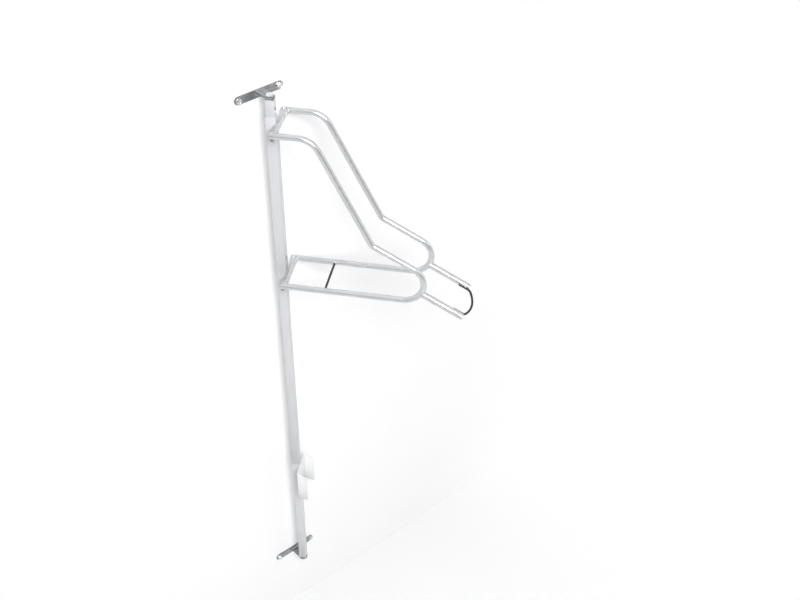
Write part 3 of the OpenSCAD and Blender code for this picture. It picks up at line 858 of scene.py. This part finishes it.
guide = {"wide": 100, "high": 118, "deep": 34, "sheet": 3, "slope": 19, "skirt": 12, "top": 493, "bend": 4,
         "corner": 5, "screwIn": 28, "rounding": 0.4, "cheekSteps": 12, "bendSteps": 8}
spots = [((0, -postRadius - guide["sheet"], z), front)
         for z in (guide["top"] - guide["high"] + guide["screwIn"], guide["top"] - guide["screwIn"])]
setOut("guideScrews", flushScrew("guideScrew"), spots, swungPlace, "swivel", "screw_steel", "guide_screws")
print("bolts and screws set")


# Square tube: rounded edges outside, a nearly sharp bore, and a small chamfer at each end.

def roundedSquare(wide, edge):
    k = wide / 2 - edge
    corners = [((k, k), 0), ((-k, k), 90), ((-k, -k), 180), ((k, -k), 270)]
    return [p for centre, a in corners for p in arc(centre, edge, a, a + 90, post["edgeSteps"])]


def squareTube(name, wide, inside, low, high):
    chamfer = post["chamfer"]
    outer = roundedSquare(wide, post["edge"])
    cut = roundedSquare(wide - 2 * chamfer, post["edge"] - chamfer / 2)
    bore = roundedSquare(inside, post["boreEdge"])
    rings = [(outer, low + chamfer), (outer, high - chamfer), (cut, high), (bore, high), (bore, low),
             (cut, low)]
    points = [(x, y, z) for ring, z in rings for x, y in ring]
    return meshObject(name, points, ringFaces(len(rings), len(outer), True))


postInside = rack["postWide"] - 2 * post["wall"]
for name, node, wide, inside, low, high in (
        ("lowerPost", "lower_post", rack["postWide"], postInside, post["bottom"], post["joint"]),
        ("middlePost", "middle_post", rack["postWide"], postInside, post["joint"],
         post["sleeveBottom"] + post["grip"]),
        ("topPost", "top_post", rack["postWide"], postInside, post["sleeveTop"] - post["grip"], post["top"]),
        ("postSleeve", "sleeve", rack["sleeveWide"], post["sleeveInside"], post["sleeveBottom"],
         post["sleeveTop"])):
    tube = squareTube(name, wide, inside, low, high)
    settle(tube, swungPlace, "swivel", "post_silver", node, crease=smooth["roundCrease"])

# These two keep their solids, in a finish of their own.
for node, slotName in (("post_joiner", "bracket_steel"), ("end_plugs", "slide_plastic")):
    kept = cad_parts[node].data.materials
    kept.clear()
    kept.append(paint[slotName])
print("post made")


# Guide: one bent sheet, its cheeks cut lower at the front.

def guideSheet():
    wide, deep, sheet, bend = guide["wide"] / 2, guide["deep"], guide["sheet"], guide["bend"]
    back, free = postRadius, postRadius + deep
    outline, lining = [], []
    for i in range(guide["cheekSteps"] + 1):             # along a cheek from its free edge
        u = free - (free - back - bend) * i / guide["cheekSteps"]
        outline.append((-wide, u))
        lining.append((-wide + sheet, u))
    for i in range(1, guide["bendSteps"] + 1):           # round its bend
        a = quarter * i / guide["bendSteps"]
        for line, radius in ((outline, bend), (lining, bend - sheet)):
            line.append((-wide + bend - radius * cos(a), back + bend - radius * sin(a)))
    outline += [(-x, u) for x, u in reversed(outline)]
    lining += [(-x, u) for x, u in reversed(lining)]

    def span(u):                                         # lowest and highest point at this depth
        cut = guide["corner"] - min(guide["corner"], free - u)
        trim = guide["corner"] - sqrt(max(0, guide["corner"] ** 2 - cut ** 2))
        share = max(0, u - back - sheet) / (deep - sheet)
        return (guide["top"] - guide["high"] - guide["skirt"] * share + trim,
                guide["top"] - guide["slope"] * share - trim)

    edge = guide["rounding"]
    share = edge / (sheet / 2)
    rings = []
    for outside, inside in zip(outline, lining):
        u = outside[1]
        low, high = span(max(u, inside[1]) if u > back + bend else u)
        middle = ((outside[0] + inside[0]) / 2, (outside[1] + inside[1]) / 2)
        outer, inner = [tuple(a + (b - a) * share for a, b in zip(p, middle)) for p in (outside, inside)]
        section = [(outside, low + edge), (outside, high - edge), (outer, high), (inner, high),
                   (inside, high - edge), (inside, low + edge), (inner, low), (outer, low)]
        rings.append([(x, -d, z) for (x, d), z in section])
    points = [p for ring in rings for p in ring]
    count = len(rings[0])
    faces = ringFaces(len(rings), count)
    faces += [tuple(range(count)), tuple(reversed(range(len(points) - count, len(points))))]
    return meshObject("wheelGuide", points, faces)


settle(guideSheet(), swungPlace, "swivel", "guide_white", "wheel_guide", crease=smooth["roundCrease"])
print("guide made")


# Stage, light and camera
stage = {"floor": -1.25, "reach": 9.0, "white": (0.80, 0.80, 0.803, 1), "lift": 0.18, "middle": 0.15,
         "near": 0.40, "far": 1.0}


def paleStage(book):   # white to the eye and in reflections, with the rack's shadow kept round it
    rays = book.node("ShaderNodeLightPath", out=("Is Camera Ray", "Is Glossy Ray", "Is Transmission Ray"))
    seen = (rays[0] + rays[1] + rays[2]).clamped()
    matt = book.node("ShaderNodeBsdfDiffuse", {}, {"Color": stage["white"]})
    lift = book.node("ShaderNodeEmission", {}, {"Strength": stage["lift"]})
    lift = book.node("ShaderNodeMixShader", {}, {0: seen, 2: lift})
    lifted = book.node("ShaderNodeAddShader", {}, {0: matt, 1: lift})
    glow = book.node("ShaderNodeEmission", {}, {"Strength": 1.0})
    across = book.split(book.node("ShaderNodeTexCoord", out="Object"))[0]
    away = abs(across - stage["middle"]).step(stage["near"], stage["far"])
    lit = book.node("ShaderNodeMixShader", {}, {0: seen * away, 1: lifted, 2: glow})
    behind = book.node("ShaderNodeNewGeometry", out="Backfacing")
    clear = book.node("ShaderNodeBsdfTransparent")
    return book.node("ShaderNodeMixShader", {}, {0: behind, 1: lit, 2: clear})


r, z = stage["reach"], stage["floor"]
wall = meshObject("wall", [(-r, 0.0, z), (r, 0.0, z), (r, 0.0, r), (-r, 0.0, r)], [(0, 1, 2, 3)])
floor = meshObject("floor", [(-r, -r, z), (r, -r, z), (r, 0.0, z), (-r, 0.0, z)], [(0, 1, 2, 3)])
white = material("paleStage", paleStage)
for piece in (wall, floor):
    piece.data.materials.append(white)

lamps = {
    "key": {"place": (-2.1, -5.4, 4.7), "aim": (0, 0, 0), "size": 2.6, "power": 490},
    "fill": {"place": (3.6, -3.0, 1.2), "aim": (0, 0, 0), "size": 3.0, "power": 30},
}
for name, lamp in lamps.items():
    light = bpy.data.lights.new(name, "AREA")
    light.size = lamp["size"]
    light.energy = lamp["power"]
    holder = bpy.data.objects.new(name, light)
    scene.collection.objects.link(holder)
    holder.location = lamp["place"]
    beam = Vector(lamp["aim"]) - Vector(lamp["place"])
    holder.rotation_euler = beam.to_track_quat("-Z", "Y").to_euler()

# White to the eye, a pale room with a dark line at eye level in reflections, and a weak light on all else.
room = {"white": (1, 1, 1), "weak": (0.10, 0.10, 0.105),
        "stops": [(0.0, (0.50, 0.50, 0.51)), (0.40, (0.85, 0.85, 0.86)), (0.49, (0.03, 0.03, 0.035)),
                  (0.62, (0.74, 0.75, 0.76)), (1.0, (0.95, 0.95, 0.95))]}
world = bpy.data.worlds.new("softRoom")
scene.world = world
world.use_nodes = True
world.node_tree.nodes.clear()
book = Book(world.node_tree)
height = book.split(book.node("ShaderNodeTexCoord", out="Generated"))[2]
seen, glossy = book.node("ShaderNodeLightPath", out=("Is Camera Ray", "Is Glossy Ray"))
mirrored = book.node("ShaderNodeValToRGB", {"stops": room["stops"]}, {0: height * 0.5 + 0.5})
sky = book.mix(seen, book.mix(glossy, room["weak"], mirrored), room["white"])
sky = book.node("ShaderNodeBackground", {}, {"Color": sky, "Strength": 1.0})
book.node("ShaderNodeOutputWorld", {}, {"Surface": sky})

eye = {"place": (-1.7194, -2.6121, 2.7055), "turn": -40.6, "dip": 38.7, "lens": 56.83, "sensor": 36}
camera = bpy.data.objects.new("camera", bpy.data.cameras.new("camera"))
scene.collection.objects.link(camera)
camera.location = eye["place"]
camera.rotation_euler = (radians(90 - eye["dip"]), 0, radians(eye["turn"]))
camera.data.lens = eye["lens"]
camera.data.sensor_width = eye["sensor"]
scene.camera = camera
